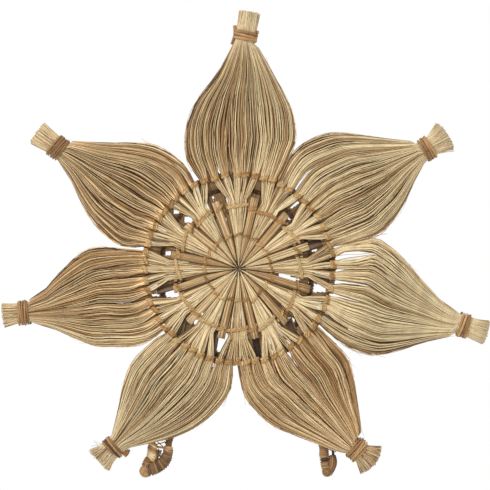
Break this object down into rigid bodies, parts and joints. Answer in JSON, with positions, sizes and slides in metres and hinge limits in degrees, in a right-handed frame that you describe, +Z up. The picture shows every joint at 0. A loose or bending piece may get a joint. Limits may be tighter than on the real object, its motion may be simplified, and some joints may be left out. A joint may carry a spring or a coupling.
{
  "type": "straw star ornament",
  "caption": "Flat star of gathered straw: a lashed web of spokes inside seven bulb-shaped petals tied at their necks, with a hoop and looped feet behind, to hang on a wall.",
  "frame": {"origin": "on the flat back of the hoop at 12 o'clock, where it rests on the wall and hangs", "axes": "+Y into the wall, -Y towards the viewer, +Z up, +X to the right as the front is seen"},
  "size_m": [0.5023, 0.0301, 0.4803],
  "materials": {
    "straw": "dry tan straw with browner stems mixed in",
    "pale_straw": "pale dry straw, slightly silky",
    "brown_straw": "brown dry stems, cut square",
    "twine": "golden-brown twisted plant twine",
    "rattan_peel": "orange-brown split rattan, dull gloss",
    "bark_wrap": "rough reddish-brown bark strip",
    "back_cane": "dark dry cane"
  },
  "bodies": {
    "root": {"petal_top": "straw", "tie_top": "rattan_peel", "petal_upper_right": "straw", "tie_upper_right": "rattan_peel", "petal_right": "straw", "tie_right": "rattan_peel", "petal_lower_right": "straw", "tie_lower_right": "rattan_peel", "petal_lower_left": "straw", "tie_lower_left": "rattan_peel", "petal_left": "straw", "tie_left": "rattan_peel", "petal_upper_left": "straw", "tie_upper_left": "rattan_peel", "spoke_01": "pale_straw", "stub_01": "brown_straw", "spoke_02": "pale_straw", "stub_02": "brown_straw", "spoke_03": "pale_straw", "stub_03": "brown_straw", "spoke_04": "pale_straw", "stub_04": "brown_straw", "spoke_05": "pale_straw", "stub_05": "brown_straw", "spoke_06": "pale_straw", "stub_06": "brown_straw", "spoke_07": "pale_straw", "stub_07": "brown_straw", "spoke_08": "pale_straw", "stub_08": "brown_straw", "spoke_09": "pale_straw", "stub_09": "brown_straw", "spoke_10": "pale_straw", "stub_10": "brown_straw", "spoke_11": "pale_straw", "stub_11": "brown_straw", "spoke_12": "pale_straw", "stub_12": "brown_straw", "twine_inner": "twine", "twine_middle": "twine", "twine_outer": "twine", "hub_knot": "twine", "hoop": "bark_wrap", "back_cane": "back_cane", "foot_left": "bark_wrap", "foot_right": "bark_wrap", "limb_left_outer": "back_cane", "limb_left_inner": "back_cane", "limb_right_inner": "back_cane", "limb_right_outer": "back_cane"}
  },
  "joints": []
}
